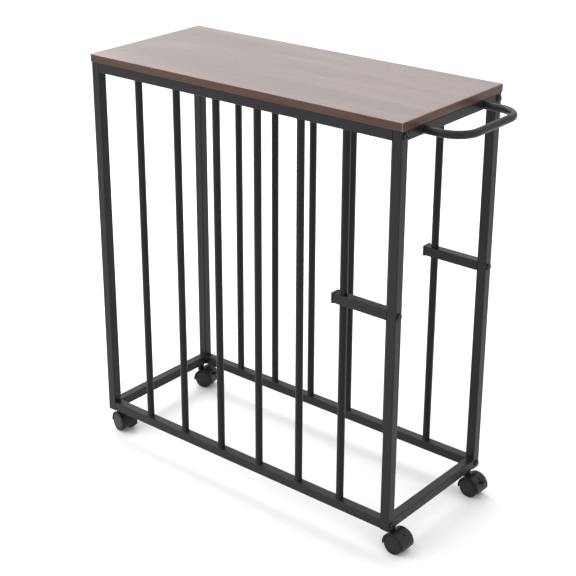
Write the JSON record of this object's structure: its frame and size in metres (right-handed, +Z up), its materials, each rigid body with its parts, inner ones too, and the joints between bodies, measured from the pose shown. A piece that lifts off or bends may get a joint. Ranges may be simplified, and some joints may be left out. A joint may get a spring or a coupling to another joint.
{
  "type": "rolling storage rack",
  "caption": "Open steel-frame rack on twin-wheel casters, barred on both long sides and open at both ends, with a flat wood-effect top board and a push handle at one end.",
  "frame": {"origin": "on the floor under the middle of the rack's bounding box", "axes": "+X along the rack towards the push handle, +Y from the front side to the rear side, +Z up"},
  "size_m": [0.8553, 0.3228, 0.862],
  "materials": {
    "powder_coat": "satin, finely textured powder coat",
    "walnut_laminate": "satin walnut-effect laminate with matching edge band",
    "black_plastic": "moulded, lightly textured",
    "wheel_plastic": "moulded nylon, semi-matte",
    "black_steel": "black oxide",
    "zinc_steel": "bright zinc plated"
  },
  "bodies": {
    "frame": {"top_board": "walnut_laminate", "post_front_left": "powder_coat", "post_front_right": "powder_coat", "post_rear_left": "powder_coat", "post_rear_right": "powder_coat", "end_rail_bottom_left": "powder_coat", "end_rail_bottom_right": "powder_coat", "side_rail_bottom_front": "powder_coat", "side_rail_bottom_rear": "powder_coat", "end_rail_top_left": "powder_coat", "end_rail_top_right": "powder_coat", "side_rail_top_front": "powder_coat", "side_rail_top_rear": "powder_coat", "bar_front_1": "powder_coat", "bar_front_2": "powder_coat", "bar_front_3": "powder_coat", "bar_front_4": "powder_coat", "bar_front_5": "powder_coat", "bar_front_6": "powder_coat", "mid_rail_front": "powder_coat", "bar_rear_1": "powder_coat", "bar_rear_2": "powder_coat", "bar_rear_3": "powder_coat", "bar_rear_4": "powder_coat", "bar_rear_5": "powder_coat", "bar_rear_6": "powder_coat", "mid_rail_rear": "powder_coat", "mid_rail_caps": "black_plastic", "push_handle": "powder_coat", "frame_bolts": "black_steel", "rail_nut_plates": "zinc_steel", "board_screws": "black_steel", "post_plugs": "black_plastic", "caster_inserts": "zinc_steel", "caster_front_left_stem": "black_steel", "caster_front_right_stem": "black_steel", "caster_rear_left_stem": "black_steel", "caster_rear_right_stem": "black_steel"},
    "swivel_front_left": {"caster_front_left_housing": "black_plastic", "caster_front_left_axle": "zinc_steel"},
    "wheel_front_left_a": {"caster_front_left_wheel_a": "wheel_plastic"},
    "wheel_front_left_b": {"caster_front_left_wheel_b": "wheel_plastic"},
    "swivel_front_right": {"caster_front_right_housing": "black_plastic", "caster_front_right_axle": "zinc_steel"},
    "wheel_front_right_a": {"caster_front_right_wheel_a": "wheel_plastic"},
    "wheel_front_right_b": {"caster_front_right_wheel_b": "wheel_plastic"},
    "swivel_rear_left": {"caster_rear_left_housing": "black_plastic", "caster_rear_left_axle": "zinc_steel"},
    "wheel_rear_left_a": {"caster_rear_left_wheel_a": "wheel_plastic"},
    "wheel_rear_left_b": {"caster_rear_left_wheel_b": "wheel_plastic"},
    "brake_rear_left": {"caster_rear_left_brake": "black_plastic"},
    "swivel_rear_right": {"caster_rear_right_housing": "black_plastic", "caster_rear_right_axle": "zinc_steel"},
    "wheel_rear_right_a": {"caster_rear_right_wheel_a": "wheel_plastic"},
    "wheel_rear_right_b": {"caster_rear_right_wheel_b": "wheel_plastic"},
    "brake_rear_right": {"caster_rear_right_brake": "black_plastic"}
  },
  "joints": [
    {"name": "swivel_front_left", "type": "hinge", "parent": "frame", "child": "swivel_front_left", "pos_m": [-0.41415, -0.133, 0.042], "axis": [0, 0, 1], "continuous": true},
    {"name": "spin_front_left_a", "type": "hinge", "parent": "swivel_front_left", "child": "wheel_front_left_a", "pos_m": [-0.39966, -0.13688, 0.02], "axis": [0.2588, 0.9659, 0], "continuous": true},
    {"name": "spin_front_left_b", "type": "hinge", "parent": "swivel_front_left", "child": "wheel_front_left_b", "pos_m": [-0.39966, -0.13688, 0.02], "axis": [0.2588, 0.9659, 0], "continuous": true},
    {"name": "swivel_front_right", "type": "hinge", "parent": "frame", "child": "swivel_front_right", "pos_m": [0.32785, -0.133, 0.042], "axis": [0, 0, 1], "continuous": true},
    {"name": "spin_front_right_a", "type": "hinge", "parent": "swivel_front_right", "child": "wheel_front_right_a", "pos_m": [0.34285, -0.133, 0.02], "axis": [0, 1, 0], "continuous": true},
    {"name": "spin_front_right_b", "type": "hinge", "parent": "swivel_front_right", "child": "wheel_front_right_b", "pos_m": [0.34285, -0.133, 0.02], "axis": [0, 1, 0], "continuous": true},
    {"name": "swivel_rear_left", "type": "hinge", "parent": "frame", "child": "swivel_rear_left", "pos_m": [-0.41415, 0.133, 0.042], "axis": [0, 0, 1], "continuous": true},
    {"name": "spin_rear_left_a", "type": "hinge", "parent": "swivel_rear_left", "child": "wheel_rear_left_a", "pos_m": [-0.39966, 0.13688, 0.02], "axis": [-0.2588, 0.9659, 0], "continuous": true},
    {"name": "spin_rear_left_b", "type": "hinge", "parent": "swivel_rear_left", "child": "wheel_rear_left_b", "pos_m": [-0.39966, 0.13688, 0.02], "axis": [-0.2588, 0.9659, 0], "continuous": true},
    {"name": "brake_rear_left", "type": "hinge", "parent": "swivel_rear_left", "child": "brake_rear_left", "pos_m": [-0.38839, 0.1399, 0.03167], "axis": [-0.2588, 0.9659, 0], "range_deg": [0, 18]},
    {"name": "swivel_rear_right", "type": "hinge", "parent": "frame", "child": "swivel_rear_right", "pos_m": [0.32785, 0.133, 0.042], "axis": [0, 0, 1], "continuous": true},
    {"name": "spin_rear_right_a", "type": "hinge", "parent": "swivel_rear_right", "child": "wheel_rear_right_a", "pos_m": [0.34285, 0.133, 0.02], "axis": [0, 1, 0], "continuous": true},
    {"name": "spin_rear_right_b", "type": "hinge", "parent": "swivel_rear_right", "child": "wheel_rear_right_b", "pos_m": [0.34285, 0.133, 0.02], "axis": [0, 1, 0], "continuous": true},
    {"name": "brake_rear_right", "type": "hinge", "parent": "swivel_rear_right", "child": "brake_rear_right", "pos_m": [0.35452, 0.133, 0.03167], "axis": [0, 1, 0], "range_deg": [0, 18]}
  ]
}
